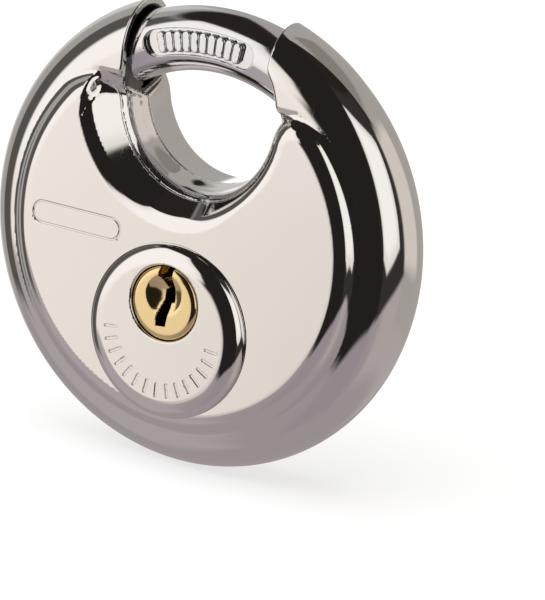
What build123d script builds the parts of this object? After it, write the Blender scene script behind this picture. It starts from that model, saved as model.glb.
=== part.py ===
"""A 70 mm disc padlock: two pressed shells round a curved shackle that a key-driven pinion turns."""

from build123d import *
from math import acos, cos, pi, radians, sin, tan
import os

# The origin is the centre of the rear flat face, +Z points up to the shackle and the keyhole
# faces -Y. A depth is measured forward from the mid-plane, so the rear face is at -FACE_DEPTH.
# A clock angle is measured clockwise from the top, seen from the front.

# Case
FACE_DEPTH = 8.4  # mid-plane to either flat face
SHEET = 1.2  # thickness of the pressed sheet
RING_R = 28.4  # centreline of the ring tube and of the shackle
TUBE_R = 6.6  # outside of the ring tube
CHANNEL_R = TUBE_R - SHEET
FACE_R = 28.3  # wall of the raised faces
EDGE_ROUND = 2.65  # rolled edge of the raised faces
THROAT_R = 12.1
THROAT_Z = 19.6
THROAT_BEVEL = 4.2  # reach of the 45-degree bevel that leads into the throat from the front
HORN_TOP = 22.2  # where the raised faces stop, short of the tube's open ends
HORN_ROUND = 5.0  # outer corners of the raised faces
THROAT_ROUND = 2.9  # their corners beside the throat
WEB_FOOT = 20.5  # above this height a flat web joins the ring tube to the throat wall
MOUTH_LEFT = -13.0  # open ends of the ring tube
MOUTH_RIGHT = 10.8
PLATE_LENGTH = 15.3  # blank name plate outline engraved on the front face
PLATE_WIDTH = 3.5
PLATE_CENTRE = (-17.2, -0.65)
LINE_WIDTH = 0.3
LINE_DEPTH = 0.15

# Cap round the plug
CAP_R = 13.0
CAP_Z = -13.45
CAP_RISE = 1.95
CAP_ROUND = 1.8
CAP_SPIGOT_R = 11.0
TICK_COUNT = 15
TICK_R = 8.6
TICK_SPAN = 168.0
TICK_LENGTH = 2.2
TICK_WIDTH = 0.4
GUARD_R = 9.25  # hardened plate behind the cap
GUARD_THICKNESS = 1.3

# Cylinder
PLUG_Z = -9.0
PLUG_R = 5.5
PLUG_FACE_DEPTH = FACE_DEPTH + CAP_RISE + 0.1
PLUG_BEVEL = 0.5
PLUG_HOLE_R = 5.9
DISH_R = 2.95  # hollow round the keyway's mouth
DISH_DEPTH = 0.7
DISH_Z = PLUG_Z + 1.25
HOUSING_R = 6.6
HOUSING_FRONT = FACE_DEPTH - SHEET - 0.05
HOUSING_BACK = -3.6
TOWER_WIDTH = 5.2
TOWER_TOP = 2.6
COVER_THICKNESS = 0.5
BORE_PLAY = 0.05

# Pins
PIN_COUNT = 5
PIN_PITCH = 2.05
FIRST_PIN_DEPTH = 5.8
PIN_R = 0.85
CHAMBER_R = PIN_R + 0.05
CHAMBER_FLOOR = -8.1
KEY_PIN_TOP = -3.65
KEY_PIN_LENGTHS = (3.6, 2.9, 3.9, 3.2, 2.6)
DRIVER_PIN_FOOT = -3.45
DRIVER_PIN_LENGTH = 3.0
SPRING_R = 0.62
SPRING_WIRE_R = 0.14
SPRING_TURNS = 6

# Drive: a pinion on the plug's tail inside a toothed sector that is fixed to the shackle
MODULE = 1.5
PRESSURE_ANGLE = radians(20)
PINION_TEETH = 16
SECTOR_TEETH = 28
ADDENDUM = 0.8 * MODULE
ROOT_GAP = 0.3
FLANK_PLAY = 0.04
GEAR_FRONT = -4.15
GEAR_BACK = -5.75
SECTOR_START = 90.0
SECTOR_END = 198.0
SECTOR_OUTER_R = 25.0
TAIL_R = 4.0
TAIL_FLATS = 6.4
JOURNAL_R = 3.0
CLIP_THICKNESS = 0.4
CLIP_R = 6.3

# Shackle
ROD_R = 4.75
SHACKLE_START = -45.0
SHACKLE_END = 130.0
TIP_ROUND = 1.5
LAP_DEPTH = -2.2  # flat on the hidden end that carries the toothed sector
LAP_START = 88.0
LAP_INNER_R = 22.5
LAP_OUTER_R = 31.0
RIVET_R = 1.3
RIVET_ANGLES = (100.0, 120.0)
RIVET_TIP = 3.5
POCKET_WIDTH = 3.9
POCKET_START = -22.3
POCKET_END = 15.0
POCKET_FLOOR = 3.75
RIB_COUNT = 10
RIB_HEIGHT = 0.75
TRAVEL = 72.0

# Plates that hold the cylinder in the case
PLATE_R = 25.0
PLATE_THICKNESS = 1.2
PLATE_GAP = 0.05
FRONT_THROAT_GAP = THROAT_BEVEL + 0.6  # clears the bevel inside the front shell
REAR_THROAT_GAP = EDGE_ROUND + 0.4  # clears the rolled edge inside the rear shell
SPACER_R = 1.9
SCREW_R = 0.95
SCREW_HEAD_R = 1.8
SCREW_HEAD = 0.8
SPACER_PLACES = [(-16.0, 8.0), (16.0, 8.0), (-15.4, -6.0), (15.4, -6.0)]
STOP_R = 1.2
STOP_RING_R = 23.0

os.makedirs("parts", exist_ok=True)


def save(piece, name):
    """Label a finished piece and write it as its own STEP file."""
    piece.label = name
    export_step(piece, f"parts/{name}.step")


def at_depth(depth):
    """The plane at a depth, seen from the front: local x is X and local y is Z."""
    return Plane.XZ.offset(FACE_DEPTH + depth)


def on_clock(radius, angle):
    """The point at a radius and a clock angle on such a plane."""
    return (radius * sin(radians(angle)), radius * cos(radians(angle)))


def clock_sector(inner_r, outer_r, start, end):
    """Part of a flat ring between two clock angles."""
    with BuildSketch() as sector:
        with BuildLine():
            inner = CenterArc((0, 0), inner_r, 90 - end, end - start)
            outer = CenterArc((0, 0), outer_r, 90 - end, end - start)
            Line(inner @ 0, outer @ 0)
            Line(inner @ 1, outer @ 1)
        make_face()
    return sector.sketch


def raised_outline(inset):
    """Outline of the raised faces, moved in by a thickness."""
    with BuildSketch() as outline:
        Circle(FACE_R - inset)
        with Locations(Location((0, THROAT_Z), 90)):
            Circle(THROAT_R + inset, mode=Mode.SUBTRACT)
        with Locations((0, HORN_TOP - inset)):
            Rectangle(2 * FACE_R, FACE_R, align=(Align.CENTER, Align.MIN), mode=Mode.SUBTRACT)
        corners = outline.vertices().group_by(Axis.Y)[-1].sort_by(Axis.X)
        fillet([corners[0], corners[-1]], HORN_ROUND - inset)
        corners = outline.vertices().group_by(Axis.Y)[-1].sort_by(lambda corner: abs(corner.X))
        fillet(corners[:2], THROAT_ROUND - inset)
    return outline.sketch


def raised_disc(inset):
    """The flat-faced middle of the case with the throat's front bevel, moved in by a thickness."""
    depth = FACE_DEPTH - inset
    bevel_r = THROAT_R + THROAT_BEVEL + inset * tan(radians(22.5))
    with BuildPart() as disc:
        with BuildSketch(at_depth(-depth)):
            add(raised_outline(inset))
        extrude(amount=2 * depth)
        rims = disc.faces().sort_by(Axis.Y)[0].edges() + disc.faces().sort_by(Axis.Y)[-1].edges()
        fillet(rims, EDGE_ROUND - inset)
        with Locations(Location((0, -FACE_DEPTH - depth, THROAT_Z), (-90, 0, 0))):
            Cone(
                bevel_r,
                bevel_r - depth,
                depth,
                align=(Align.CENTER, Align.CENTER, Align.MIN),
                mode=Mode.SUBTRACT,
            )
    return disc.part


def ring(tube_r):
    """A whole ring tube's outer shape or bore."""
    with BuildPart() as tube:
        with BuildSketch(Plane.XY):
            with Locations((RING_R, -FACE_DEPTH)):
                Circle(tube_r)
        revolve(axis=Axis.Y)
    return tube.part


def web(inset):
    """The flat web inside the ring tube beside the throat, moved in by a thickness."""
    with BuildPart() as plate:
        with BuildSketch(at_depth(inset - TUBE_R)):
            Circle(RING_R)
            with Locations((0, THROAT_Z)):
                Circle(THROAT_R + inset, mode=Mode.SUBTRACT)
            with Locations((0, WEB_FOOT + inset)):
                Rectangle(
                    2 * RING_R,
                    2 * RING_R,
                    align=(Align.CENTER, Align.MAX),
                    mode=Mode.SUBTRACT,
                )
        extrude(amount=2 * (TUBE_R - inset))
    return plate.part


def case_half(side):
    """One pressed shell: half the ring tube, a raised face and half the throat wall."""
    with BuildPart() as half:
        add(ring(TUBE_R))
        add(web(0))
        with Locations(((MOUTH_LEFT + MOUTH_RIGHT) / 2, -FACE_DEPTH, 0)):
            Box(
                MOUTH_RIGHT - MOUTH_LEFT,
                3 * TUBE_R,
                2 * RING_R,
                align=(Align.CENTER, Align.CENTER, Align.MIN),
                mode=Mode.SUBTRACT,
            )
        add(raised_disc(0))
        add(raised_disc(SHEET), mode=Mode.SUBTRACT)
        add(ring(CHANNEL_R), mode=Mode.SUBTRACT)
        add(web(SHEET), mode=Mode.SUBTRACT)
        split(bisect_by=at_depth(0), keep=side)
    return half.part


def gear_outline(teeth, root_r, tip_r, play):
    """A gear's outline with involute flanks, each moved out by the play, one tooth pointing down."""
    pitch_r = MODULE * teeth / 2
    base_r = pitch_r * cos(PRESSURE_ANGLE)
    steps = 5
    radii = [root_r + (tip_r - root_r) * step / steps for step in range(steps + 1)]

    def half_angle(radius):
        slope = acos(min(1, base_r / radius))
        thickness = pi / (2 * teeth) + tan(PRESSURE_ANGLE) - PRESSURE_ANGLE
        return thickness - tan(slope) + slope + play / pitch_r

    points = []
    for tooth in range(teeth):
        middle = pi + 2 * pi * tooth / teeth
        for radius in radii:
            angle = middle - half_angle(radius)
            points.append((radius * sin(angle), radius * cos(angle)))
        for radius in reversed(radii):
            angle = middle + half_angle(radius)
            points.append((radius * sin(angle), radius * cos(angle)))
    with BuildSketch() as gear:
        with BuildLine():
            Polyline(*points, close=True)
        make_face()
    return gear.sketch


def housing_outline(grow):
    """Section of the cylinder's body: a round barrel with the pin tower above it."""
    with BuildSketch() as section:
        with Locations((0, PLUG_Z)):
            Circle(HOUSING_R + grow)
            Rectangle(
                TOWER_WIDTH + 2 * grow,
                TOWER_TOP - PLUG_Z + grow,
                align=(Align.CENTER, Align.MIN),
            )
    return section.sketch


def keyway_outline():
    """The keyway's winding section, open at the plug's top, about the plug's centre."""
    with BuildSketch() as keyway:
        with BuildLine():
            Polyline(
                (1.05, PLUG_R + 0.2),
                (1.0, 4.0),
                (1.5, 2.5),
                (1.6, 0.5),
                (1.05, 0.25),
                (0.55, -3.35),
                (-0.95, -3.5),
                (-1.05, -2.1),
                (-0.1, 0.55),
                (-0.05, 2.1),
                (0.5, 2.35),
                (-0.7, 3.5),
                (-1.3, 3.95),
                (-1.05, PLUG_R + 0.2),
                close=True,
            )
        make_face()
    return keyway.sketch


def plate_outline(throat_gap):
    """Outline of a mounting plate: a disc cut away for the throat, with four screw holes."""
    with BuildSketch() as outline:
        Circle(PLATE_R)
        with Locations((0, THROAT_Z)):
            Circle(THROAT_R + throat_gap, mode=Mode.SUBTRACT)
        with Locations((0, HORN_TOP - FRONT_THROAT_GAP)):
            Rectangle(2 * PLATE_R, PLATE_R, align=(Align.CENTER, Align.MIN), mode=Mode.SUBTRACT)
        with Locations(*SPACER_PLACES):
            Circle(SCREW_R + 0.03, mode=Mode.SUBTRACT)
    return outline.sketch


# ---- Case ------------------------------------------------------------------------------------

with BuildPart() as front_shell:
    add(case_half(Keep.TOP))
    with BuildSketch(at_depth(0)):
        with Locations((0, CAP_Z)):
            Circle(CAP_SPIGOT_R)
    extrude(amount=FACE_DEPTH + CAP_RISE, mode=Mode.SUBTRACT)
    with BuildSketch(at_depth(FACE_DEPTH)):
        with Locations(PLATE_CENTRE):
            SlotOverall(PLATE_LENGTH, PLATE_WIDTH)
            SlotOverall(
                PLATE_LENGTH - 2 * LINE_WIDTH,
                PLATE_WIDTH - 2 * LINE_WIDTH,
                mode=Mode.SUBTRACT,
            )
    extrude(amount=-LINE_DEPTH, mode=Mode.SUBTRACT)
save(front_shell.part, "front_shell")

with BuildPart() as rear_shell:
    add(case_half(Keep.BOTTOM))
save(rear_shell.part, "rear_shell")

# ---- Cap and guard plate ---------------------------------------------------------------------

with BuildPart() as boss_cap:
    with BuildSketch(at_depth(FACE_DEPTH)):
        with Locations((0, CAP_Z)):
            Circle(CAP_R)
    extrude(amount=CAP_RISE)
    fillet(boss_cap.faces().sort_by(Axis.Y)[0].edges(), CAP_ROUND)
    with BuildSketch(at_depth(FACE_DEPTH)):
        with Locations((0, CAP_Z)):
            Circle(CAP_SPIGOT_R - BORE_PLAY)
    extrude(amount=-SHEET)
    with BuildSketch(at_depth(FACE_DEPTH - SHEET)):
        with Locations((0, CAP_Z)):
            Circle(GUARD_R + BORE_PLAY)
    extrude(amount=GUARD_THICKNESS + BORE_PLAY, mode=Mode.SUBTRACT)
    with BuildSketch(at_depth(FACE_DEPTH - SHEET)):
        with Locations((0, PLUG_Z)):
            Circle(PLUG_HOLE_R)
    extrude(amount=SHEET + CAP_RISE, mode=Mode.SUBTRACT)
    with BuildSketch(at_depth(FACE_DEPTH + CAP_RISE)):
        with Locations((0, CAP_Z)):
            with PolarLocations(TICK_R, TICK_COUNT, 270 - TICK_SPAN / 2, TICK_SPAN, endpoint=True):
                Rectangle(TICK_LENGTH, TICK_WIDTH)
    extrude(amount=-LINE_DEPTH, mode=Mode.SUBTRACT)
save(boss_cap.part, "boss_cap")

with BuildPart() as anti_drill_plate:
    with BuildSketch(at_depth(FACE_DEPTH - SHEET)):
        with Locations((0, CAP_Z)):
            Circle(GUARD_R)
        with Locations((0, PLUG_Z)):
            Circle(PLUG_HOLE_R, mode=Mode.SUBTRACT)
    extrude(amount=GUARD_THICKNESS)
save(anti_drill_plate.part, "anti_drill_plate")

# ---- Cylinder --------------------------------------------------------------------------------

pin_ys = [-FACE_DEPTH - FIRST_PIN_DEPTH + PIN_PITCH * index for index in range(PIN_COUNT)]

with BuildPart() as cylinder_housing:
    with BuildSketch(at_depth(HOUSING_BACK)):
        add(housing_outline(0))
        with Locations((0, PLUG_Z)):
            Circle(PLUG_R + BORE_PLAY, mode=Mode.SUBTRACT)
    extrude(amount=HOUSING_FRONT - HOUSING_BACK)
    with BuildSketch(Plane.XY.offset(PLUG_Z)):
        with Locations(*[(0, y) for y in pin_ys]):
            Circle(CHAMBER_R)
    extrude(amount=TOWER_TOP - PLUG_Z, mode=Mode.SUBTRACT)
save(cylinder_housing.part, "cylinder_housing")

with BuildPart() as spring_cover:
    with BuildSketch(at_depth(HOUSING_BACK + 0.1)):
        with Locations((0, TOWER_TOP)):
            Rectangle(
                TOWER_WIDTH - 0.4,
                COVER_THICKNESS,
                align=(Align.CENTER, Align.MIN),
            )
    extrude(amount=FIRST_PIN_DEPTH + CHAMBER_R + 0.1 - HOUSING_BACK)
    fillet(spring_cover.edges().filter_by(Axis.Y).group_by(Axis.Z)[-1], 0.25)
save(spring_cover.part, "spring_cover")

with BuildPart() as plug:
    with BuildSketch(at_depth(HOUSING_BACK)):
        with Locations((0, PLUG_Z)):
            Circle(PLUG_R)
    extrude(amount=PLUG_FACE_DEPTH - HOUSING_BACK)
    chamfer(plug.faces().sort_by(Axis.Y)[0].edges(), PLUG_BEVEL)
    dish_sphere_r = (DISH_R**2 + DISH_DEPTH**2) / (2 * DISH_DEPTH)
    with Locations((0, -FACE_DEPTH - PLUG_FACE_DEPTH + DISH_DEPTH - dish_sphere_r, DISH_Z)):
        Sphere(dish_sphere_r, mode=Mode.SUBTRACT)
    with BuildSketch(at_depth(HOUSING_BACK + 0.2)):
        with Locations((0, PLUG_Z)):
            add(keyway_outline())
    extrude(amount=PLUG_FACE_DEPTH - HOUSING_BACK, mode=Mode.SUBTRACT)
    with BuildSketch(Plane.XY.offset(CHAMBER_FLOOR)):
        with Locations(*[(0, y) for y in pin_ys]):
            Circle(CHAMBER_R)
    extrude(amount=PLUG_Z + PLUG_R - CHAMBER_FLOOR, mode=Mode.SUBTRACT)
    with BuildSketch(at_depth(HOUSING_BACK)):
        with Locations((0, PLUG_Z)):
            Circle(TAIL_R)
            Rectangle(TAIL_FLATS, 2 * TAIL_R, mode=Mode.INTERSECT)
    extrude(amount=GEAR_BACK - HOUSING_BACK)
    groove_depth = HOUSING_BACK - BORE_PLAY - CLIP_THICKNESS
    with BuildSketch(at_depth(groove_depth)):
        with Locations((0, PLUG_Z)):
            Circle(TAIL_R + 1)
            Circle(JOURNAL_R, mode=Mode.SUBTRACT)
    extrude(amount=CLIP_THICKNESS, mode=Mode.SUBTRACT)
    with BuildSketch(at_depth(GEAR_BACK)):
        with Locations((0, PLUG_Z)):
            Circle(JOURNAL_R)
    extrude(amount=-PLATE_THICKNESS)
save(plug.part, "plug")

with BuildPart() as plug_clip:
    with BuildSketch(at_depth(groove_depth + 0.02)):
        with Locations((0, PLUG_Z)):
            Circle(CLIP_R)
            Circle(JOURNAL_R + 0.03, mode=Mode.SUBTRACT)
            Rectangle(2.6, CLIP_R, align=(Align.CENTER, Align.MAX), mode=Mode.SUBTRACT)
    extrude(amount=CLIP_THICKNESS - 0.04)
save(plug_clip.part, "plug_clip")

for index, y in enumerate(pin_ys):
    key_length = KEY_PIN_LENGTHS[index]
    with BuildPart() as key_pin:
        with BuildSketch(Plane.XY.offset(KEY_PIN_TOP)):
            with Locations((0, y)):
                Circle(PIN_R)
        extrude(amount=-key_length)
        chamfer(key_pin.faces().sort_by(Axis.Z)[0].edges(), 0.5)
    save(key_pin.part, f"key_pin_{index + 1}")

    with BuildPart() as driver_pin:
        with BuildSketch(Plane.XY.offset(DRIVER_PIN_FOOT)):
            with Locations((0, y)):
                Circle(PIN_R)
        extrude(amount=DRIVER_PIN_LENGTH)
        chamfer(driver_pin.faces().sort_by(Axis.Z)[-1].edges(), 0.15)
    save(driver_pin.part, f"driver_pin_{index + 1}")

    spring_foot = DRIVER_PIN_FOOT + DRIVER_PIN_LENGTH + SPRING_WIRE_R
    spring_height = TOWER_TOP - SPRING_WIRE_R - spring_foot
    with BuildPart() as pin_spring:
        with BuildLine() as coil:
            Helix(spring_height / SPRING_TURNS, spring_height, SPRING_R, center=(0, y, spring_foot))
        with BuildSketch(Plane(origin=coil.line @ 0, z_dir=coil.line % 0)):
            Circle(SPRING_WIRE_R)
        sweep(is_frenet=True)
    save(pin_spring.part, f"pin_spring_{index + 1}")

# ---- Drive -----------------------------------------------------------------------------------

pinion_r = MODULE * PINION_TEETH / 2
sector_r = MODULE * SECTOR_TEETH / 2
gear_width = GEAR_FRONT - GEAR_BACK

with BuildPart() as drive_pinion:
    with BuildSketch(at_depth(GEAR_BACK)):
        with Locations((0, PLUG_Z)):
            add(gear_outline(PINION_TEETH, pinion_r - ADDENDUM - ROOT_GAP, pinion_r + ADDENDUM, -FLANK_PLAY))
    extrude(amount=gear_width)
    with BuildSketch(at_depth(GEAR_BACK)) as tail_hole:
        with Locations((0, PLUG_Z)):
            Circle(TAIL_R + 0.03)
            Rectangle(TAIL_FLATS + 0.06, 3 * TAIL_R, mode=Mode.INTERSECT)
    extrude(amount=gear_width, mode=Mode.SUBTRACT)
save(drive_pinion.part, "drive_pinion")

with BuildPart() as shackle_carrier:
    with BuildSketch(at_depth(GEAR_BACK)):
        add(clock_sector(sector_r - ADDENDUM, SECTOR_OUTER_R, SECTOR_START, SECTOR_END))
        add(
            gear_outline(SECTOR_TEETH, sector_r - 2 * ADDENDUM, sector_r + ADDENDUM + ROOT_GAP, FLANK_PLAY),
            mode=Mode.SUBTRACT,
        )
    extrude(amount=gear_width)
    with BuildSketch(at_depth(GEAR_FRONT)):
        add(clock_sector(LAP_INNER_R, LAP_OUTER_R, SECTOR_START, SHACKLE_END))
    extrude(amount=LAP_DEPTH - GEAR_FRONT)
    with BuildSketch(at_depth(GEAR_FRONT)):
        with Locations(*[on_clock(RING_R, angle) for angle in RIVET_ANGLES]):
            Circle(RIVET_R + 0.02)
    extrude(amount=LAP_DEPTH - GEAR_FRONT, mode=Mode.SUBTRACT)
save(shackle_carrier.part, "shackle_carrier")

with BuildPart() as carrier_rivets:
    with BuildSketch(at_depth(GEAR_FRONT)):
        with Locations(*[on_clock(RING_R, angle) for angle in RIVET_ANGLES]):
            Circle(RIVET_R)
    extrude(amount=RIVET_TIP - GEAR_FRONT)
    chamfer(carrier_rivets.faces().group_by(Axis.Y)[0].edges(), 0.3)
save(carrier_rivets.part, "carrier_rivets")

# ---- Shackle ---------------------------------------------------------------------------------

start_x, start_z = on_clock(1, SHACKLE_START)
pocket_end_angle = POCKET_WIDTH / 2 / RING_R * 180 / pi
pocket_line = CenterArc(
    (0, 0),
    RING_R,
    90 - POCKET_END + pocket_end_angle,
    POCKET_END - POCKET_START - 2 * pocket_end_angle,
)

with BuildPart() as shackle:
    with BuildSketch(Plane((0, 0, 0), x_dir=(start_x, 0, start_z), z_dir=(-start_z, 0, start_x))):
        with Locations((RING_R, -FACE_DEPTH)):
            Circle(ROD_R)
    revolve(axis=Axis.Y, revolution_arc=SHACKLE_END - SHACKLE_START)
    fillet(shackle.faces().filter_by(GeomType.PLANE).sort_by(Axis.Z)[-1].edges(), TIP_ROUND)
    with BuildSketch(at_depth(-2 * ROD_R)):
        add(clock_sector(RING_R - 2 * ROD_R, RING_R + 2 * ROD_R, LAP_START, SHACKLE_END + 5))
    extrude(amount=LAP_DEPTH + 2 * ROD_R, mode=Mode.SUBTRACT)
    with BuildSketch(at_depth(LAP_DEPTH)):
        with Locations(*[on_clock(RING_R, angle) for angle in RIVET_ANGLES]):
            Circle(RIVET_R + 0.02)
    extrude(amount=RIVET_TIP + 0.1 - LAP_DEPTH, mode=Mode.SUBTRACT)
    with BuildSketch(at_depth(POCKET_FLOOR)):
        SlotArc(pocket_line, POCKET_WIDTH)
    extrude(amount=ROD_R, mode=Mode.SUBTRACT)
    with BuildSketch(at_depth(POCKET_FLOOR)):
        rib_span = POCKET_END - POCKET_START - 3 * pocket_end_angle
        rib_start = 90 - (POCKET_START + POCKET_END) / 2 - rib_span / 2
        with PolarLocations(RING_R, RIB_COUNT, rib_start, rib_span, endpoint=True):
            SlotOverall(POCKET_WIDTH - 0.8, 1.2)
    extrude(amount=RIB_HEIGHT)
save(shackle.part, "shackle")

# ---- Plates and fasteners --------------------------------------------------------------------

front_plate_back = FACE_DEPTH - SHEET - PLATE_GAP - PLATE_THICKNESS
rear_plate_back = -FACE_DEPTH + SHEET + PLATE_GAP
rear_plate_front = rear_plate_back + PLATE_THICKNESS
sector_edge_to_stop = (STOP_R + 0.05) / STOP_RING_R * 180 / pi
stop_places = [
    on_clock(STOP_RING_R, SECTOR_START - sector_edge_to_stop),
    on_clock(STOP_RING_R, SECTOR_END + TRAVEL + sector_edge_to_stop),
]

with BuildPart() as front_plate:
    with BuildSketch(at_depth(front_plate_back)):
        add(plate_outline(FRONT_THROAT_GAP))
        add(housing_outline(0.03), mode=Mode.SUBTRACT)
        with Locations((0, TOWER_TOP)):
            Rectangle(
                TOWER_WIDTH + 0.06,
                2 * COVER_THICKNESS,
                align=(Align.CENTER, Align.MIN),
                mode=Mode.SUBTRACT,
            )
    extrude(amount=PLATE_THICKNESS)
save(front_plate.part, "front_plate")

with BuildPart() as rear_plate:
    with BuildSketch(at_depth(rear_plate_back)):
        add(plate_outline(REAR_THROAT_GAP))
        with Locations((0, PLUG_Z)):
            Circle(JOURNAL_R + BORE_PLAY, mode=Mode.SUBTRACT)
        with Locations(*stop_places):
            Circle(STOP_R + 0.01, mode=Mode.SUBTRACT)
    extrude(amount=PLATE_THICKNESS)
    with Locations(*[Location((x, -FACE_DEPTH - rear_plate_back, z), (-90, 0, 0)) for x, z in SPACER_PLACES]):
        Cone(
            SCREW_R + 0.03,
            SCREW_HEAD_R + 0.03,
            SCREW_HEAD,
            align=(Align.CENTER, Align.CENTER, Align.MAX),
            mode=Mode.SUBTRACT,
        )
save(rear_plate.part, "rear_plate")

with BuildPart() as plate_spacers:
    with BuildSketch(at_depth(rear_plate_front)):
        with Locations(*SPACER_PLACES):
            Circle(SPACER_R)
            Circle(SCREW_R + 0.05, mode=Mode.SUBTRACT)
    extrude(amount=front_plate_back - rear_plate_front)
save(plate_spacers.part, "plate_spacers")

with BuildPart() as plate_screws:
    with BuildSketch(at_depth(rear_plate_back)):
        with Locations(*SPACER_PLACES):
            Circle(SCREW_R)
    extrude(amount=front_plate_back + PLATE_THICKNESS - rear_plate_back)
    with Locations(*[Location((x, -FACE_DEPTH - rear_plate_back, z), (-90, 0, 0)) for x, z in SPACER_PLACES]):
        Cone(SCREW_R, SCREW_HEAD_R, SCREW_HEAD, align=(Align.CENTER, Align.CENTER, Align.MAX))
save(plate_screws.part, "plate_screws")

with BuildPart() as stop_pins:
    with BuildSketch(at_depth(rear_plate_back)):
        with Locations(*stop_places):
            Circle(STOP_R)
    extrude(amount=GEAR_FRONT - 0.15 - rear_plate_back)
save(stop_pins.part, "stop_pins")
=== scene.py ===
"""The looks of a 70 mm disc padlock: mirror-polished shells, cap and shackle, and a brass plug."""

import math

import bmesh
import bpy
import numpy as np
from mathutils import Matrix, Vector


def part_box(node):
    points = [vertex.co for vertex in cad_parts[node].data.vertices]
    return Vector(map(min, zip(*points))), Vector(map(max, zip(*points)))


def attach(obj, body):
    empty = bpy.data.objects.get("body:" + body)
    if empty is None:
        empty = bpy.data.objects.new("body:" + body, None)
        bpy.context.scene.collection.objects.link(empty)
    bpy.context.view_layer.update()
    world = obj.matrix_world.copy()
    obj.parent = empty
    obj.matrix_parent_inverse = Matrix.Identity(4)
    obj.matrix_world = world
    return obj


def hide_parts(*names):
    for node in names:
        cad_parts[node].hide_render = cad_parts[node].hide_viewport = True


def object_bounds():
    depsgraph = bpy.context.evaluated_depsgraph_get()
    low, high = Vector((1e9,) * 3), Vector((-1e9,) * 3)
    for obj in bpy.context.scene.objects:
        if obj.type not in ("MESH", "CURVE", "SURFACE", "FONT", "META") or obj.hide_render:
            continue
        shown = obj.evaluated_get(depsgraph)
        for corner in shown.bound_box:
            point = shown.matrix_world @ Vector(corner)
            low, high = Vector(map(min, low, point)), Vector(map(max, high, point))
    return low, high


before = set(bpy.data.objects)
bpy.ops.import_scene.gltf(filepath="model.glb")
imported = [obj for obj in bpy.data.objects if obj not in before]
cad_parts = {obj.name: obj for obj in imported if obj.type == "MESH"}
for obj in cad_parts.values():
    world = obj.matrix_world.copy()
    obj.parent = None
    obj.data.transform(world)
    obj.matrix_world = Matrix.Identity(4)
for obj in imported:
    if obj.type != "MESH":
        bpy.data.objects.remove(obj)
cad_low, cad_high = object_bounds()

# Shapes are worked out in millimetres, as (across, depth, height): X, forward of the case's
# mid-plane, and Z. A field is a formula for how far a point is outside a shape.
MM = 0.001


def node_box(name):
    """A CAD node's lowest and highest across, depth and height, in millimetres."""
    low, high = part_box(name)
    return (
        np.array((low.x / MM, MID_DEPTH - high.y / MM, low.z / MM)),
        np.array((high.x / MM, MID_DEPTH - low.y / MM, high.z / MM)),
    )


MID_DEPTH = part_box("rear_shell")[0].y / MM
FACE_DEPTH = -MID_DEPTH
case_low, case_high = node_box("front_shell")
cap_low, cap_high = node_box("boss_cap")
plug_low, plug_high = node_box("plug")
rod_low, rod_high = node_box("shackle")

# Case
SHEET = 1.2
TUBE_R = 6.6
RING_R = case_high[0] - TUBE_R
FACE_R = RING_R + 0.45
OUTER_EDGE = 3.2  # radius of the raised faces' rolled edge beside the ring
THROAT_BEVEL = 4.2  # reach of the front's 45-degree bevel beside the throat
BEVEL_SKEW = 0.05  # how much the bevel narrows with each millimetre to the right
BEVEL_NARROWING = 2.3  # how much it narrows besides, right of the middle
NARROWING_SPAN = (1.0, 14.0)
BEVEL_ROUND = 0.9
RING_FADE = (-4.5, 0.5)  # where the bevel fades out towards the ring: throat field less edge field
EQUATOR_FADE = (-1.0, 1.0)  # where it fades out towards the rear: depth
THROAT_R = 12.1
THROAT_Z = 19.6
THROAT_DRAFT = 0.7  # how much wider the throat is towards the front
DRAFT_SPAN = (0.0, 3.0)
HORN_TOP = 22.2
HORN_ROUND = 4.0
THROAT_ROUND = 5.0
MOUTH_LEFT = -13.0
MOUTH_RIGHT = 10.8
WALL_TOP = 17.8  # the throat wall's upper edge at the mid-plane
WALL_SLOPE = 0.39
WEB_ROUND = 1.0
WEB_FOOT = 21.0  # below this height the ring's tube has no flat web inside it
WEB_FOOT_ROUND = 1.5
RIM_ROUND = 0.3
CREASE_ROUND = 0.75
SEAM_HALF = 0.16
SEAM_DEPTH = 0.3
SEAM_ROUND = 0.08
LIP_INSET = 1.1  # the fine line round the throat's edge
LIP_HALF = 0.1
LIP_DEPTH = 0.12
PLATE_X = -17.2
PLATE_Z = -0.65
PLATE_LENGTH = 15.3
PLATE_WIDTH = 3.5
LINE_WIDTH = 0.3
LINE_DEPTH = 0.15
LINE_ROUND = 0.06
SPIGOT_GAP = 0.05
INNER_REACH = 0.25  # how near the hollow a face counts as the sheet's hidden side
CUT_REACH = 0.3  # how near the left mouth's plane a face counts as its cut edge
CUT_TOP = 24.0
CUT_RISE = 0.2
CASE_CELL = 0.42
LINE_CELL = 0.11  # longest edge at engraved and scored lines
CREASE_CELL = 0.2  # longest edge along the crease between ring and raised faces
NO_LIMIT = 9.0  # an edge length that asks for nothing finer

# Cap
CAP_R = (cap_high[0] - cap_low[0]) / 2
CAP_Z = (cap_high[2] + cap_low[2]) / 2
CAP_TOP = cap_high[1]
CAP_BACK = cap_low[1]
CAP_EDGE = (3.0, 1.9)  # width and depth of the cap's rounded rim
SPIGOT_R = 10.95
RECESS_R = 9.3
RECESS_TOP = 8.55
TICK_COUNT = 15
TICK_R = 8.6
TICK_SPAN = 168.0
TICK_LENGTH = 2.2
TICK_WIDTH = 0.4
TICK_CELL = 0.1
CAP_CELL = 0.24
PLUG_HOLE_R = 5.62
HOLE_ROUND = 0.3

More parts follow.
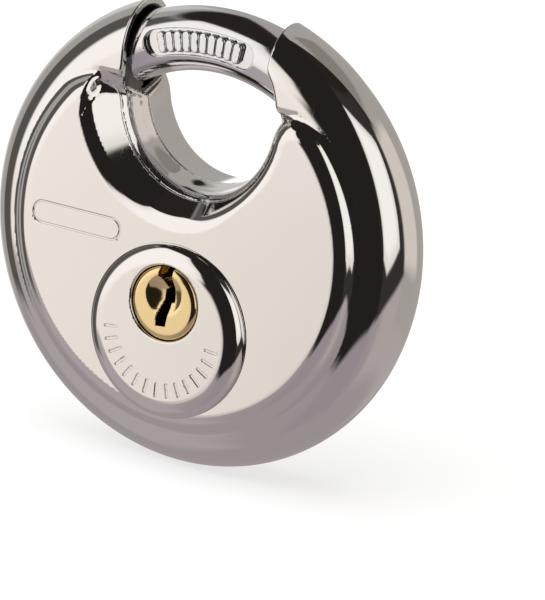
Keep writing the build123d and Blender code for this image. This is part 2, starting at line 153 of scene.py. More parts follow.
# Plug
PLUG_R = (plug_high[0] - plug_low[0]) / 2
PLUG_Z = (plug_high[2] + plug_low[2]) / 2
PLUG_FACE = plug_high[1]
PLUG_END = plug_low[1]
PLUG_EDGE = (0.95, 0.7)  # width and depth of the plug's rounded edge
DISH_R = 2.95
DISH_DEPTH = 0.7
DISH_Z = PLUG_Z + 1.25
BARREL_BACK = -3.6
TAIL_BACK = -5.75
TAIL_R = 4.0
TAIL_FLATS = 6.4
JOURNAL_R = 3.0
CLIP_GROOVE = (-4.05, -3.65)
PIN_PITCH = 2.05
FIRST_PIN_DEPTH = 5.8
PIN_COUNT = 5
CHAMBER_R = 0.9
CHAMBER_FLOOR = -8.1
PLUG_CELL = 0.2

# Shackle
ROD_R = (rod_high[1] - rod_low[1]) / 2
SHACKLE_START = -45.0
SHACKLE_END = 130.0
TIP_ROUND = 1.5
LAP_DEPTH = -2.2
LAP_START = 88.0
RIVET_R = 1.32
RIVET_ANGLES = (100.0, 120.0)
RIVET_TIP = 3.6
POCKET_WIDTH = 3.9
POCKET_START = -22.3
POCKET_END = 15.0
POCKET_FLOOR = 3.75
RIB_COUNT = 10
RIB_HEIGHT = 0.75
RIB_WIDTH = 1.35
RIB_LENGTH = POCKET_WIDTH - 0.8
ROD_CELL = 0.32


# ---- Fields ----------------------------------------------------------------------------------


def smooth_max(a, b, radius):
    """The larger of two fields, with the corner between them rounded."""
    corner = np.hypot(np.maximum(a + radius, 0), np.maximum(b + radius, 0))
    return np.minimum(-radius, np.maximum(a, b)) + corner


def smooth_min(a, b, radius):
    """The smaller of two fields, with the corner between them rounded."""
    return -smooth_max(-a, -b, radius)


def slot_field(along, beside, length, width):
    """A round-ended slot about the middle."""
    straight = (length - width) / 2
    return np.hypot(np.maximum(np.abs(along) - straight, 0), beside) - width / 2


def ring_field(across, depth, height, radius):
    """A torus on the shackle's path."""
    return np.hypot(np.hypot(across, height) - RING_R, depth) - radius


def smooth_share(value, low, high):
    """From 0 to 1 as the value goes from low to high, with no corners."""
    share = np.clip((value - low) / (high - low), 0, 1)
    return share * share * (3 - 2 * share)


def throat_field(across, depth, height):
    """How far a point is inside the throat's wall, which widens a little towards the front."""
    return THROAT_R + THROAT_DRAFT * smooth_share(depth, *DRAFT_SPAN) - np.hypot(across, height - THROAT_Z)


def raised_fields(across, depth, height):
    """The outline of the raised faces, and the raised disc with its rolled edges."""
    outer = smooth_max(np.hypot(across, height) - FACE_R, height - HORN_TOP, HORN_ROUND)
    throat = throat_field(across, depth, height)
    outline = smooth_max(outer, throat, THROAT_ROUND)
    raised = smooth_max(outline, np.abs(depth) - FACE_DEPTH, OUTER_EDGE)
    reach = THROAT_BEVEL - BEVEL_SKEW * across - BEVEL_NARROWING * smooth_share(across, *NARROWING_SPAN)
    beside_throat = smooth_share(throat - np.hypot(across, height) + FACE_R, *RING_FADE)
    reach = reach * beside_throat * smooth_share(depth, *EQUATOR_FADE)
    bevel = (outline + np.abs(depth) - FACE_DEPTH + reach) / math.sqrt(2)
    return outline, smooth_max(raised, bevel, BEVEL_ROUND)


def hollow_field(across, depth, height, throat, raised):
    """The space inside the case, which the mouths open into."""
    web = np.maximum(np.abs(depth) - TUBE_R, WEB_FOOT - height) + SHEET
    web = np.maximum(web, np.hypot(across, height) - RING_R)
    channel = np.minimum(ring_field(across, depth, height, TUBE_R - SHEET), web)
    return np.maximum(np.minimum(raised + SHEET, channel), throat + SHEET)


def plate_line(across, height):
    """How far a point is outside the blank name plate's outline."""
    length, width = PLATE_LENGTH - LINE_WIDTH, PLATE_WIDTH - LINE_WIDTH
    return np.abs(slot_field(across - PLATE_X, height - PLATE_Z, length, width)) - LINE_WIDTH / 2


def case_field(points):
    """The whole case: ring tube, flat web inside it, raised faces and throat wall, hollow inside."""
    across, depth, height = points.T
    throat = throat_field(across, depth, height)
    outline, raised = raised_fields(across, depth, height)
    web = smooth_max(np.abs(depth) - TUBE_R, WEB_FOOT - height, WEB_FOOT_ROUND)
    web = np.maximum(web, np.hypot(across, height) - RING_R)
    ring = smooth_max(np.minimum(ring_field(across, depth, height, TUBE_R), web), throat, WEB_ROUND)
    outside = smooth_min(ring, raised, CREASE_ROUND)
    mouth = np.minimum(np.minimum(across - MOUTH_LEFT, MOUTH_RIGHT - across), RING_R)
    mouth = np.minimum(mouth, height - WALL_TOP - WALL_SLOPE * np.abs(depth))
    body = smooth_max(outside, mouth, RIM_ROUND)
    body = smooth_max(body, -hollow_field(across, depth, height, throat, raised), RIM_ROUND)
    seam = np.maximum(np.abs(depth) - SEAM_HALF, -throat - SEAM_DEPTH)
    body = smooth_max(body, -seam, SEAM_ROUND)
    lip = np.maximum(np.abs(outline + LIP_INSET) - LIP_HALF, -outside - LIP_DEPTH)
    lip = np.maximum(lip, np.maximum(FACE_DEPTH / 2 - depth, -LIP_INSET * 3 - throat))
    body = smooth_max(body, -lip, LINE_ROUND)
    spigot = np.maximum(np.hypot(across, height - CAP_Z) - SPIGOT_R - SPIGOT_GAP, -depth)
    body = np.maximum(body, -spigot)
    line = np.maximum(plate_line(across, height), FACE_DEPTH - LINE_DEPTH - depth)
    return smooth_max(body, -line, LINE_ROUND)


def case_grain(points):
    """How fine the case's mesh has to be: finest at its engraved and scored lines."""
    across, depth, height = points.T
    throat = throat_field(across, depth, height)
    outline, raised = raised_fields(across, depth, height)
    seam = np.maximum(np.abs(depth) - 0.3, np.abs(throat) - 0.5)
    plate = np.maximum(plate_line(across, height) - 0.1, FACE_DEPTH - 0.5 - depth)
    lip = np.maximum(np.abs(outline + LIP_INSET) - 0.2, np.abs(raised) - 0.4)
    lip = np.maximum(lip, np.maximum(FACE_DEPTH / 2 - depth, -LIP_INSET * 3 - throat))
    ring = ring_field(across, depth, height, TUBE_R)
    crease = np.maximum(np.abs(ring), np.abs(raised)) - 0.55
    beside_lines = np.where(crease < 0, CREASE_CELL, NO_LIMIT)
    return np.where(np.minimum(np.minimum(seam, plate), lip) < 0, LINE_CELL, beside_lines)


def case_inner(points):
    """Which points are on the sheet's hidden side, or on its cut edge inside the left mouth; these get the
    dark material that paints shade inside the case.
    """
    across, depth, height = points.T
    throat = throat_field(across, depth, height)
    hollow = hollow_field(across, depth, height, throat, raised_fields(across, depth, height)[1])
    cut = (np.abs(across - MOUTH_LEFT) < CUT_REACH) & (np.abs(depth) < TUBE_R - SHEET)
    cut = cut & (height > WALL_TOP + WALL_SLOPE * np.abs(depth) + CUT_RISE) & (height < CUT_TOP)
    return (hollow < INNER_REACH) | cut


def tick_field(across, height):
    """The ticks on the cap's lower half, about the cap's centre."""
    spacing = math.radians(TICK_SPAN / (TICK_COUNT - 1))
    angle = np.arctan2(across, -height)
    nearest = np.clip(np.round(angle / spacing), -(TICK_COUNT // 2), TICK_COUNT // 2) * spacing
    along = across * np.sin(nearest) - height * np.cos(nearest) - TICK_R
    beside = across * np.cos(nearest) + height * np.sin(nearest)
    return slot_field(along, beside, TICK_LENGTH, TICK_WIDTH)


def cap_field(points):
    """The raised cap, its spigot in the shell, the guard's recess, the plug hole and the ticks."""
    across, depth, height = points.T
    height = height - CAP_Z
    radius = np.hypot(across, height)
    cap = smooth_max((radius - CAP_R) * CAP_EDGE[1] / CAP_EDGE[0], depth - CAP_TOP, CAP_EDGE[1])
    cap = smooth_max(cap, FACE_DEPTH - depth, 0.1)
    spigot = np.maximum(radius - SPIGOT_R, np.maximum(CAP_BACK - depth, depth - FACE_DEPTH - 0.2))
    cap = np.minimum(cap, spigot)
    cap = np.maximum(cap, -np.maximum(radius - RECESS_R, depth - RECESS_TOP))
    hole = PLUG_HOLE_R - np.hypot(across, height - (PLUG_Z - CAP_Z))
    cap = smooth_max(cap, hole, HOLE_ROUND)
    tick = np.maximum(tick_field(across, height), CAP_TOP - LINE_DEPTH - depth)
    return smooth_max(cap, -tick, LINE_ROUND)


def cap_grain(points):
    """How fine the cap's mesh has to be: finest at the ticks."""
    across, depth, height = points.T
    tick = np.maximum(tick_field(across, height - CAP_Z) - 0.12, CAP_TOP - 0.5 - depth)
    return np.where(tick < 0, TICK_CELL, NO_LIMIT)


# The keyway's corners about the plug's centre, as (across, height) in millimetres
KEYWAY = [
    (1.05, 5.7),
    (1.0, 4.0),
    (1.5, 2.5),
    (1.6, 0.5),
    (1.05, 0.25),
    (0.55, -3.35),
    (-0.95, -3.5),
    (-1.05, -2.1),
    (-0.1, 0.55),
    (-0.05, 2.1),
    (0.5, 2.35),
    (-0.7, 3.5),
    (-1.3, 3.95),
    (-1.05, 5.7),
]


def polygon_field(across, height, corners):
    """A closed outline with straight sides."""
    nearest = np.full(across.shape, np.inf)
    inside = np.zeros(across.shape, bool)
    for (x0, z0), (x1, z1) in zip(corners, corners[1:] + corners[:1]):
        side_x, side_z = x1 - x0, z1 - z0
        share = ((across - x0) * side_x + (height - z0) * side_z) / (side_x**2 + side_z**2)
        share = np.clip(share, 0, 1)
        distance = np.hypot(across - x0 - share * side_x, height - z0 - share * side_z)
        nearest = np.minimum(nearest, distance)
        crosses = (z0 > height) != (z1 > height)
        slope = np.where(crosses, (height - z0) * side_x / (side_z if side_z else 1) + x0, -np.inf)
        inside ^= crosses & (across < slope)
    return np.where(inside, -nearest, nearest)


def plug_field(points):
    """The brass plug: rounded edge, dish, keyway, pin chambers, and the tail with its flats."""
    across, depth, height = points.T
    height = height - PLUG_Z
    radius = np.hypot(across, height)
    barrel = smooth_max((radius - PLUG_R) * PLUG_EDGE[1] / PLUG_EDGE[0], depth - PLUG_FACE, PLUG_EDGE[1])
    barrel = np.maximum(barrel, BARREL_BACK - depth)
    tail = np.maximum(radius - TAIL_R, np.abs(across) - TAIL_FLATS / 2)
    tail = np.maximum(tail, np.maximum(TAIL_BACK - depth, depth - BARREL_BACK - 0.1))
    groove = np.maximum(CLIP_GROOVE[0] - depth, depth - CLIP_GROOVE[1])
    tail = np.maximum(tail, -np.maximum(groove, JOURNAL_R - radius))
    journal = np.maximum(radius - JOURNAL_R, np.maximum(PLUG_END - depth, depth - BARREL_BACK - 0.1))
    plug = np.minimum(np.minimum(barrel, tail), journal)
    dish_r = (DISH_R**2 + DISH_DEPTH**2) / (2 * DISH_DEPTH)
    dish_depth = depth - PLUG_FACE + DISH_DEPTH - dish_r
    from_dish = np.sqrt(across**2 + (height + PLUG_Z - DISH_Z) ** 2 + dish_depth**2)
    plug = smooth_max(plug, dish_r - from_dish, 0.12)
    keyway = np.maximum(polygon_field(across, height, KEYWAY), BARREL_BACK + 0.2 - depth)
    plug = smooth_max(plug, -keyway, 0.1)
    pin = np.clip(np.round((FIRST_PIN_DEPTH - depth) / PIN_PITCH), 0, PIN_COUNT - 1)
    chamber = np.hypot(across, depth - FIRST_PIN_DEPTH + pin * PIN_PITCH) - CHAMBER_R
    chamber = np.maximum(chamber, CHAMBER_FLOOR - PLUG_Z - height)
    return np.maximum(plug, -chamber)


def shackle_field(points):
    """The curved rod with its pocket and ribs, rounded tip, and the lap that carries the sector."""
    across, depth, height = points.T
    clock = np.degrees(np.arctan2(across, height))
    radius = np.hypot(across, height)
    rod = np.hypot(radius - RING_R, depth) - ROD_R
    past_start = (SHACKLE_START - clock) * np.pi / 180 * radius
    past_end = (clock - SHACKLE_END) * np.pi / 180 * radius
    past_end = np.where(clock < SHACKLE_START - 60, RING_R, past_end)
    rod = smooth_max(rod, past_start, TIP_ROUND)
    rod = smooth_max(rod, past_end, 0.2)
    lap = np.maximum((LAP_START - clock) * np.pi / 180 * radius, depth - LAP_DEPTH)
    rod = smooth_max(rod, -lap, 0.15)
    for angle in RIVET_ANGLES:
        turn = math.radians(angle)
        rivet = np.hypot(across - RING_R * math.sin(turn), height - RING_R * math.cos(turn)) - RIVET_R
        rod = np.maximum(rod, -np.maximum(rivet, depth - RIVET_TIP))
    middle = (POCKET_START + POCKET_END) / 2
    span = (POCKET_END - POCKET_START) * np.pi / 180 * RING_R
    along = (clock - middle) * np.pi / 180 * RING_R
    beside = radius - RING_R
    pocket = np.maximum(slot_field(along, beside, span, POCKET_WIDTH), POCKET_FLOOR - depth)
    rod = smooth_max(rod, -pocket, 0.15)
    first = span / 2 - POCKET_WIDTH / 2 * 1.5
    pitch = 2 * first / (RIB_COUNT - 1)
    rib = np.clip(np.round((along + first) / pitch), 0, RIB_COUNT - 1) * pitch - first
    ribs = slot_field(beside, along - rib, RIB_LENGTH, RIB_WIDTH)
    ribs = smooth_max(ribs, np.maximum(depth - POCKET_FLOOR - RIB_HEIGHT, POCKET_FLOOR - 0.5 - depth), 0.2)
    return smooth_min(rod, ribs, 0.1)


# ---- Meshes from fields ----------------------------------------------------------------------


SHORTEST_EDGE = 0.06
LONGEST_STEP = 0.3
SETTLING_ROUNDS = 5


def slopes(field, points, step=0.004):
    """The field's gradient at each point."""
    found = np.empty_like(points)
    for axis in range(3):
        offset = np.zeros(3)
        offset[axis] = step
        found[:, axis] = (field(points + offset) - field(points - offset)) / (2 * step)
    return found


def settled(field, points, rounds):
    """The points moved onto the field's surface."""
    for _ in range(rounds):
        slope = slopes(field, points)
        share = field(points) / np.maximum((slope**2).sum(1), 0.05)
        points = points - np.clip(share, -LONGEST_STEP, LONGEST_STEP)[:, None] * slope
    return points


def net(field, low, high, cell):
    """Points and quads of a field's surface: one point in each grid cell that the surface crosses."""
    axes = [np.arange(a - 1.5 * cell, b + 2.5 * cell, cell) for a, b in zip(low, high)]
    grid = np.stack(np.meshgrid(*axes, indexing="ij"), -1)
    inside = field(grid.reshape(-1, 3)).reshape(grid.shape[:3]) < 0
    long, deep, tall = (size - 1 for size in inside.shape)
    corners = sum(
        inside[i : long + i, j : deep + j, k : tall + k].astype(np.int8)
        for i in (0, 1)
        for j in (0, 1)
        for k in (0, 1)
    )
    crossed = (corners > 0) & (corners < 8)
    number = np.full(crossed.shape, -1)
    number[crossed] = np.arange(crossed.sum())
    places = np.argwhere(crossed)
    points = np.stack([axes[axis][places[:, axis]] + cell / 2 for axis in range(3)], 1)
    quads = []
    for axis in range(3):
        beside = np.eye(3, dtype=int)[(axis + 1) % 3], np.eye(3, dtype=int)[(axis + 2) % 3]
        ahead = np.take(inside, range(1, inside.shape[axis]), axis)
        here = np.take(inside, range(inside.shape[axis] - 1), axis)
        for starts_inside in (True, False):
            edges = np.argwhere((here != ahead) & (here == starts_inside))
            around = [edges, edges - beside[0], edges - beside[0] - beside[1], edges - beside[1]]
            if not starts_inside:
                around.reverse()
            quads.append(np.stack([number[tuple(cells.T)] for cells in around], 1))
    return settled(field, points, SETTLING_ROUNDS), np.concatenate(quads)


def sharpened(bm, field, grain, rounds, most_turn):
    """Divides edges where the surface turns far or the grain asks for it, and settles the new points."""
    for _ in range(rounds):
        points = np.array([vertex.co for vertex in bm.verts])
        slope = slopes(field, points)
        normal = slope / np.linalg.norm(slope, axis=1, keepdims=True)
        bm.verts.index_update()
        edges = list(bm.edges)
        ends = np.array([(edge.verts[0].index, edge.verts[1].index) for edge in edges])
        turn = (normal[ends[:, 0]] * normal[ends[:, 1]]).sum(1)
        length = np.linalg.norm(points[ends[:, 0]] - points[ends[:, 1]], axis=1)
        chosen = (turn < math.cos(math.radians(most_turn))) & (length > SHORTEST_EDGE)
        if grain:
            chosen |= length > grain((points[ends[:, 0]] + points[ends[:, 1]]) / 2)
        old = len(bm.verts)
        chosen = [edges[i] for i in np.flatnonzero(chosen)]
        bmesh.ops.subdivide_edges(bm, edges=chosen, cuts=1, use_grid_fill=True)
        bm.verts.ensure_lookup_table()
        fresh = np.array([bm.verts[i].co for i in range(old, len(bm.verts))]).reshape(-1, 3)
        for i, place in enumerate(settled(field, fresh, 4)):
            bm.verts[old + i].co = place
    bmesh.ops.triangulate(bm, faces=[face for face in bm.faces if len(face.verts) > 4])


def field_mesh(field, low, high, cell, grain=None, rounds=3, most_turn=16):
    """A bmesh of a field's surface, in millimetres, finer where it turns sharply."""
    points, quads = net(field, low, high, cell)
    mesh = bpy.data.meshes.new("net")
    mesh.from_pydata(points.tolist(), [], quads.tolist())
    bm = bmesh.new()
    bm.from_mesh(mesh)
    bpy.data.meshes.remove(mesh)
    sharpened(bm, field, grain, rounds, most_turn)
    return bm


def finished_piece(name, bm, field, cut_depth=None, inner=None):
    """An object from a bmesh in millimetres, shaded with its field's own normals.

    Faces on a cut stay flat, and faces on the inner side use the second material.
    """
    mesh = bpy.data.meshes.new(name)
    bm.to_mesh(mesh)
    bm.free()
    points = np.empty(len(mesh.vertices) * 3)
    mesh.vertices.foreach_get("co", points)
    points = points.reshape(-1, 3)
    slope = slopes(field, points)
    normals = slope / np.maximum(np.linalg.norm(slope, axis=1, keepdims=True), 1e-9)
    framed = np.stack([points[:, 0], MID_DEPTH - points[:, 1], points[:, 2]], 1) * MM
    mesh.vertices.foreach_set("co", framed.ravel())
    normals = normals * (1, -1, 1)
    mesh.flip_normals()
    mesh.update()
    corner = np.empty(len(mesh.loops), int)
    mesh.loops.foreach_get("vertex_index", corner)
    shading = normals[corner]
    if cut_depth is not None:
        on_cut = np.abs(points[corner, 1] - cut_depth) < 1e-4
        for face in mesh.polygons:
            span = slice(face.loop_start, face.loop_start + face.loop_total)
            if on_cut[span].all():
                shading[span] = face.normal
    mesh.polygons.foreach_set("use_smooth", np.ones(len(mesh.polygons), bool))
    if inner:
        middles = np.array([points[list(face.vertices)].mean(0) for face in mesh.polygons])
        mesh.polygons.foreach_set("material_index", inner(middles).astype(np.int32))
    mesh.normals_split_custom_set(shading.tolist())
    made = bpy.data.objects.new(name, mesh)
    bpy.context.scene.collection.objects.link(made)
    print(name, len(mesh.vertices), "points", len(mesh.polygons), "faces")
    return made


# ---- Node trees ------------------------------------------------------------------------------


def linear(red, green, blue):
    """A colour as it shows on screen, from 0 to 255, turned into light."""
    shown = np.array((red, green, blue)) / 255
    return tuple(np.where(shown <= 0.04045, shown / 12.92, ((shown + 0.055) / 1.055) ** 2.4))


class Tree:
    """Short calls for adding nodes to a tree."""

    def __init__(self, tree):
        self.nodes = tree.nodes
        self.links = tree.links

    def add(self, kind, **settings):
        node = self.nodes.new(kind)
        for name, value in settings.items():
            setattr(node, name, value)
        return node

    def feed(self, socket, value):
        """Links a socket to another, or gives it a value."""
        if isinstance(value, bpy.types.NodeSocket):
            self.links.new(value, socket)
        elif isinstance(value, tuple) and len(value) == 3 and socket.type == "RGBA":
            socket.default_value = (*value, 1)
        else:
            socket.default_value = value

    def math(self, operation, *values):
        node = self.add("ShaderNodeMath", operation=operation)
        for socket, value in zip(node.inputs, values):
            self.feed(socket, value)
        return node.outputs[0]

    def step(self, value, low, high, start=0.0, end=1.0):
        """A smooth step from start to end as the value goes from low to high."""
        node = self.add("ShaderNodeMapRange", interpolation_type="SMOOTHSTEP")
        names = ("Value", "From Min", "From Max", "To Min", "To Max")
        for name, given in zip(names, (value, low, high, start, end)):
            self.feed(node.inputs[name], given)
        return node.outputs[0]

    def mix(self, share, first, second, blend="MIX"):
        node = self.add("ShaderNodeMix", data_type="RGBA", blend_type=blend)
        self.feed(node.inputs[0], share)
        self.feed(node.inputs[6], first)
        self.feed(node.inputs[7], second)
        return node.outputs[2]

    def noise(self, vector, scale, detail=2.0, roughness=0.5):
        node = self.add("ShaderNodeTexNoise")
        self.feed(node.inputs["Vector"], vector)
        self.feed(node.inputs["Scale"], scale)
        self.feed(node.inputs["Detail"], detail)
        self.feed(node.inputs["Roughness"], roughness)
        return node.outputs[0]

    def turned(self, vector, angles, scale):
        node = self.add("ShaderNodeMapping")
        self.feed(node.inputs["Vector"], vector)
        node.inputs["Rotation"].default_value = [math.radians(angle) for angle in angles]
        node.inputs["Scale"].default_value = scale
        return node.outputs[0]

    def bump(self, height, distance, normal=None):
        node = self.add("ShaderNodeBump")
        node.inputs["Strength"].default_value = 1.0
        node.inputs["Distance"].default_value = distance
        self.feed(node.inputs["Height"], height)
        if normal is not None:
            self.feed(node.inputs["Normal"], normal)
        return node.outputs[0]


def new_metal(name):
    """A metallic material, its tree, its shader node and the place on the object."""
    material = bpy.data.materials.new(name)
    material.use_nodes = True
    tree = Tree(material.node_tree)
    shader = material.node_tree.nodes["Principled BSDF"]
    shader.inputs["Metallic"].default_value = 1.0
    place = tree.add("ShaderNodeTexCoord").outputs["Object"]
    return material, tree, shader, place


def scratches(tree, place, angles, fineness):
    """Fine straight scratches in one direction: stretched noise with only its peaks kept."""
    stretched = tree.turned(place, angles, (fineness, fineness * 0.03, fineness * 0.03))
    return tree.step(tree.noise(stretched, 1.0, 1.0), 0.66, 0.74)


def polished_metal(name, colour, roughness, smudge, grain):
    """Mirror-polished metal: faint smudges in its gloss, polishing grain and hairline scratches."""
    material, tree, shader, place = new_metal(name)
    cloud = tree.noise(place, 55.0, 4.0, 0.6)
    tree.feed(shader.inputs["Base Color"], tree.mix(cloud, colour, tuple(c * 0.965 for c in colour)))
    marks = tree.math(
        "ADD",
        scratches(tree, place, (20, 35, 62), 2600.0),
        scratches(tree, place, (-40, 15, -28), 3100.0),
    )
    gloss = tree.step(cloud, 0.35, 0.7, roughness, roughness + smudge)
    tree.feed(shader.inputs["Roughness"], tree.math("ADD", gloss, tree.math("MULTIPLY", marks, 0.03)))
    fine = tree.bump(tree.noise(place, 2400.0, 2.0), grain * MM)
    tree.feed(shader.inputs["Normal"], tree.bump(marks, -0.0004 * MM, fine))
    return material


def machined_metal(name, colour, roughness, along, turns_per_mm):
    """Machined or drawn metal: fine tool lines across one axis, with mottled colour."""
    material, tree, shader, place = new_metal(name)
    cloud = tree.noise(place, 220.0, 4.0, 0.6)
    darker = tuple(c * 0.8 for c in colour)
    tree.feed(shader.inputs["Base Color"], tree.mix(tree.step(cloud, 0.3, 0.75), colour, darker))
    scale = [60.0, 60.0, 60.0]
    scale[along] = turns_per_mm * 1000
    lines = tree.noise(tree.turned(place, (0, 0, 0), scale), 1.0, 2.0)
    tree.feed(shader.inputs["Roughness"], tree.step(lines, 0.3, 0.7, roughness, roughness + 0.15))
    tree.feed(shader.inputs["Normal"], tree.bump(lines, 0.004 * MM))
    return material


def plated_steel(name, colour, roughness):
    """Zinc-plated pressings: fine crystal mottle and a faint yellow bloom."""
    material, tree, shader, place = new_metal(name)
    crystals = tree.add("ShaderNodeTexVoronoi")
    tree.feed(crystals.inputs["Vector"], place)
    tree.feed(crystals.inputs["Scale"], 700.0)
    bloom = tree.step(tree.noise(place, 90.0, 4.0), 0.45, 0.7)
    warm = (colour[0] * 1.03, colour[1] * 0.98, colour[2] * 0.85)
    tree.feed(shader.inputs["Base Color"], tree.mix(bloom, colour, warm))
    gloss = tree.step(crystals.outputs["Color"], 0, 1, roughness, roughness + 0.12)
    tree.feed(shader.inputs["Roughness"], gloss)
    tree.feed(shader.inputs["Normal"], tree.bump(tree.noise(place, 1800.0, 3.0), 0.006 * MM))
    return material


STEEL = (0.79, 0.775, 0.765)
stainless = polished_metal("polished_stainless", STEEL, 0.035, 0.03, 0.0003)
hardened = polished_metal("hardened_steel", (0.76, 0.755, 0.775), 0.07, 0.05, 0.0012)
plug_brass = polished_metal("polished_brass", (0.85, 0.67, 0.36), 0.10, 0.06, 0.0008)
turned_brass = machined_metal("turned_brass", (0.74, 0.55, 0.25), 0.22, 2, 9.0)
turned_steel = machined_metal("turned_steel", (0.62, 0.62, 0.63), 0.25, 1, 9.0)
plated = plated_steel("zinc_plated_steel", (0.66, 0.66, 0.67), 0.28)
# Inner side of the case and the cut edge in the left mouth: a dull, rougher finish, and a dark colour that
# is painted shade inside the hollow.
dull_inside_painted_shade = machined_metal("dull_inside_painted_shade", (0.17, 0.16, 0.155), 0.4, 1, 3.0)
drawn_wire = machined_metal("drawn_wire", (0.52, 0.52, 0.53), 0.3, 0, 12.0)

# ---- Visible pieces --------------------------------------------------------------------------


def dressed(piece, material, body, slot, *nodes):
    """Gives a piece its material and its part in the frame."""
    piece.data.materials.append(material)
    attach(piece, body)
    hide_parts(*nodes)


def case_half(whole, name, side, node):
    """One shell, cut from the whole case at the mid-plane and closed there."""
    half = whole.copy()
    geometry = list(half.verts) + list(half.edges) + list(half.faces)
    cut = bmesh.ops.bisect_plane(
        half, geom=geometry, dist=1e-5, plane_co=(0, 0, 0), plane_no=(0, side, 0), clear_inner=True
    )
    rim = [item for item in cut["geom_cut"] if isinstance(item, bmesh.types.BMEdge)]
    bmesh.ops.triangle_fill(half, use_beauty=True, edges=rim, normal=(0, -side, 0))
    shell = finished_piece(name, half, case_field, 0.0, case_inner)
    dressed(shell, stainless, "case", "polished_stainless", node)
    # The second material paints shade on the sheet's hidden side and on the cut edge inside the left
    # mouth.
    shell.data.materials.append(dull_inside_painted_shade)


case_low[1] = node_box("rear_shell")[0][1]
whole_case = field_mesh(case_field, case_low, case_high, CASE_CELL, case_grain)
case_half(whole_case, "case_front", 1, "front_shell")
case_half(whole_case, "case_rear", -1, "rear_shell")
whole_case.free()

cap_mesh = field_mesh(cap_field, cap_low, cap_high, CAP_CELL, cap_grain)
cap = finished_piece("cap_ring", cap_mesh, cap_field)
dressed(cap, stainless, "case", "polished_stainless", "boss_cap")
plug_mesh = field_mesh(plug_field, plug_low, plug_high, PLUG_CELL)
plug = finished_piece("plug_body", plug_mesh, plug_field)
dressed(plug, plug_brass, "plug", "plug_brass", "plug")
rod_mesh = field_mesh(shackle_field, rod_low, rod_high, ROD_CELL)
rod = finished_piece("shackle_rod", rod_mesh, shackle_field)
dressed(rod, hardened, "shackle", "hardened_shackle", "shackle")

# ---- CAD nodes inside ------------------------------------------------------------------------

INSIDE = {
    "anti_drill_plate": plated,
    "cylinder_housing": turned_brass,
    "spring_cover": turned_brass,
    "front_plate": plated,
    "rear_plate": plated,
    "plate_spacers": turned_steel,
    "plate_screws": turned_steel,
    "stop_pins": turned_steel,
    "shackle_carrier": plated,
    "carrier_rivets": turned_steel,
    "plug_clip": drawn_wire,
    "drive_pinion": turned_steel,
}
for pin in range(1, PIN_COUNT + 1):
    INSIDE[f"key_pin_{pin}"] = turned_brass
    INSIDE[f"driver_pin_{pin}"] = turned_brass
    INSIDE[f"pin_spring_{pin}"] = drawn_wire
for name, material in INSIDE.items():
    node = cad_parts[name]
    node.data.materials.clear()
    node.data.materials.append(material)

# ---- Studio ----------------------------------------------------------------------------------

# What the polished metal mirrors: soft-edged patches of light and dark, later ones over earlier
# ones. Each has an edge width in degrees, a tone, and the corners of a convex outline as
# (azimuth, elevation) in degrees: 0 is in front, 90 at +X.
# REFLECTED is how much the steel gives back, so that a tone shows as it is written, from 0 to 255.
REFLECTED = 0.775
BELOW = (151, 143, 146)
SURROUNDINGS = [
    (16, (165, 158, 159), [(-78, -60), (-28, -60), (-28, -10), (-78, -10)]),
    (14, (146, 137, 142), [(-5, -60), (40, -60), (40, -15), (-5, -15)]),
    (16, (167, 159, 158), [(58, -52), (210, -45), (210, -5), (58, -5)]),
    (5, (160, 156, 152), [(-210, -29), (-58, -27), (-58, 110), (-210, 110)]),
    (5, (160, 155, 150), [(96, -30), (210, -30), (210, 110), (96, 110)]),
    (7, (38, 33, 30), [(-148, 46), (110, 44), (112, 110), (-150, 110)]),
    (4, (33, 30, 29), [(-25, -12), (-16, -22), (-4, -28.5), (32, -29), (52, -24), (52, 90), (-25, 90)]),
    (4, (50, 46, 44), [(44, -27), (80, -17.5), (101, -11), (101, 60), (44, 60)]),
    (8, (131, 124, 119), [(112, 50), (210, 50), (210, 78), (112, 78)]),
    (8, (157, 154, 151), [(-145, -27), (-92, -27), (-92, 42), (-145, 42)]),
    (10, (193, 191, 188), [(-142, -27), (-119, -27), (-119, 38), (-142, 38)]),
    (5, (82, 79, 76), [(-92, -28), (-64, -28), (-64, 44), (-92, 44)]),
    (3, (232, 225, 217), [(-61, -20), (-25.5, -20), (-21.5, -4), (-21.5, 4), (-61, 4)]),
    (9, (214, 206, 199), [(-29.5, -26), (-20, -26), (-18, -6), (-29.5, -6)]),
    (3, (226, 220, 213), [(-61, -4), (-21, -4), (-14.5, 4), (-10.5, 18), (-18, 50), (-61, 50)]),
    (9, (246, 241, 237), [(-61, -11), (-27, -13), (-19, 2), (-15, 14), (-22, 47), (-61, 46)]),
    (
        2.5,
        (224, 219, 214),
        [(45, -7), (54, -11.5), (66, -8), (86, -1), (88, 39), (84, 42), (72, 45), (48, 49.5), (45, 49)],
    ),
    (6, (243, 239, 234), [(48, -2), (56, -6), (80, 2), (83, 36), (72, 41), (49, 45)]),
    (8, (204, 196, 189), [(100, -8), (130, -12), (144, -12), (144, 32), (126, 39.5), (100, 39.5)]),
    (8, (255, 252, 250), [(-172, -22), (-139, -22), (-139, 8), (-172, 8)]),
]


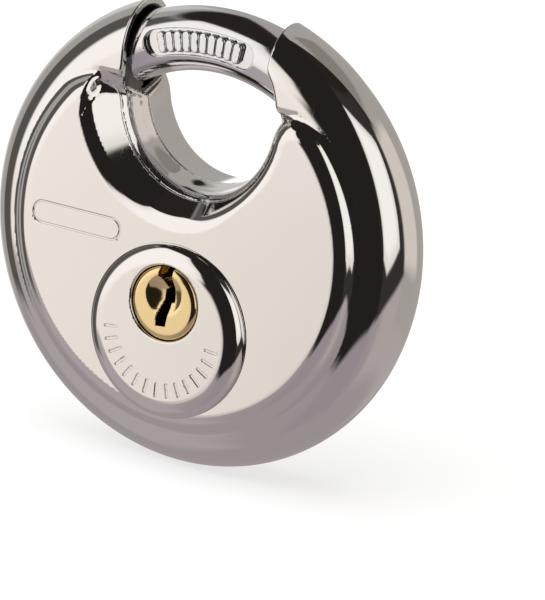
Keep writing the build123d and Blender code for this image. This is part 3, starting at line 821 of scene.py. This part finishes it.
def surroundings():
    """The world: the patches above, over the tone below the horizon."""
    world = bpy.data.worlds.new("studio")
    world.use_nodes = True
    bpy.context.scene.world = world
    tree = Tree(world.node_tree)
    direction = tree.add("ShaderNodeSeparateXYZ")
    tree.feed(direction.inputs[0], tree.add("ShaderNodeTexCoord").outputs["Generated"])
    forward = tree.math("MULTIPLY", direction.outputs[1], -1.0)
    azimuth = tree.math("MULTIPLY", tree.math("ARCTAN2", direction.outputs[0], forward), 180 / math.pi)
    elevation = tree.math("MULTIPLY", tree.math("ARCSINE", direction.outputs[2]), 180 / math.pi)
    colour = linear(*BELOW)
    for edge, tone, corners in SURROUNDINGS:
        inside = 400.0
        for (start, low), (end, high) in zip(corners, corners[1:] + corners[:1]):
            length = math.hypot(end - start, high - low)
            across, up = (low - high) / length, (end - start) / length
            offset = -start * across - low * up
            past = tree.math("MULTIPLY_ADD", elevation, up, offset)
            inside = tree.math("MINIMUM", inside, tree.math("MULTIPLY_ADD", azimuth, across, past))
        colour = tree.mix(tree.step(inside, -edge / 2, edge / 2), colour, linear(*tone))
    background = world.node_tree.nodes["Background"]
    tree.feed(background.inputs["Color"], colour)
    background.inputs["Strength"].default_value = 1 / REFLECTED


FLOOR_SIZE = 8
FLOOR_TONES = ((0.29, 0.29, 0.29), (0.3, 0.3, 0.3))
FLOOR_GLOW = 0.7


def pale_floor():
    """A pale floor under the ring, which shows to the camera but not in the polished metal."""
    bpy.ops.mesh.primitive_plane_add(size=FLOOR_SIZE, location=(0, 0, cad_low.z))
    floor = bpy.context.object
    floor.name = "floor"
    material = bpy.data.materials.new("pale_floor")
    material.use_nodes = True
    tree = Tree(material.node_tree)
    shader = material.node_tree.nodes["Principled BSDF"]
    place = tree.add("ShaderNodeTexCoord").outputs["Object"]
    tree.feed(shader.inputs["Base Color"], tree.mix(tree.noise(place, 30.0), *FLOOR_TONES))
    shader.inputs["Emission Color"].default_value = (1, 1, 1, 1)
    shader.inputs["Emission Strength"].default_value = FLOOR_GLOW
    shader.inputs["Roughness"].default_value = 0.9
    shader.inputs["Specular IOR Level"].default_value = 0.0
    floor.data.materials.append(material)
    floor.visible_glossy = False


LAMP_STRENGTH = 3.1
LAMP_SPREAD = math.radians(75)
LAMP_TILT = (math.radians(18), math.radians(-12), 0)


def overhead_light():
    """A wide soft light that brightens the floor; the metal mirrors the surroundings alone."""
    lamp = bpy.data.lights.new("overhead", "SUN")
    lamp.energy = LAMP_STRENGTH
    lamp.angle = LAMP_SPREAD
    light = bpy.data.objects.new("overhead", lamp)
    bpy.context.scene.collection.objects.link(light)
    light.rotation_euler = LAMP_TILT
    light.visible_glossy = False


CAMERA_AZIMUTH = 30.01
CAMERA_ELEVATION = 15.09
CAMERA_ROLL = 5.62
CAMERA_DISTANCE = 605 * MM
CAMERA_LENS = 249.4
AIM_ACROSS = 9.55 * MM
AIM_UP = -10.04 * MM


def photographer():
    """The camera, turned a little on its own axis, with the disc left of and above its middle."""
    azimuth, elevation = math.radians(CAMERA_AZIMUTH), math.radians(CAMERA_ELEVATION)
    roll = math.radians(CAMERA_ROLL)
    centre = Vector((0, MID_DEPTH * MM, 0))
    level_share = math.cos(elevation)
    back = Vector((math.sin(azimuth) * level_share, -math.cos(azimuth) * level_share, math.sin(elevation)))
    level = Vector((0, 0, 1)).cross(back).normalized()
    upright = back.cross(level)
    across = level * math.cos(roll) + upright * math.sin(roll)
    up = upright * math.cos(roll) - level * math.sin(roll)
    stand = centre + back * CAMERA_DISTANCE
    aim = centre + across * AIM_ACROSS + up * AIM_UP
    backward = (stand - aim).normalized()
    right = (across - backward * across.dot(backward)).normalized()
    camera = bpy.data.objects.new("camera", bpy.data.cameras.new("camera"))
    camera.data.lens = CAMERA_LENS
    camera.data.clip_start = 0.01
    camera.data.clip_end = 20
    bpy.context.scene.collection.objects.link(camera)
    turn = Matrix((right, backward.cross(right), backward)).transposed()
    camera.matrix_world = Matrix.Translation(stand) @ turn.to_4x4()
    bpy.context.scene.camera = camera


surroundings()
pale_floor()
overhead_light()
photographer()
bpy.context.scene.view_settings.view_transform = "Standard"
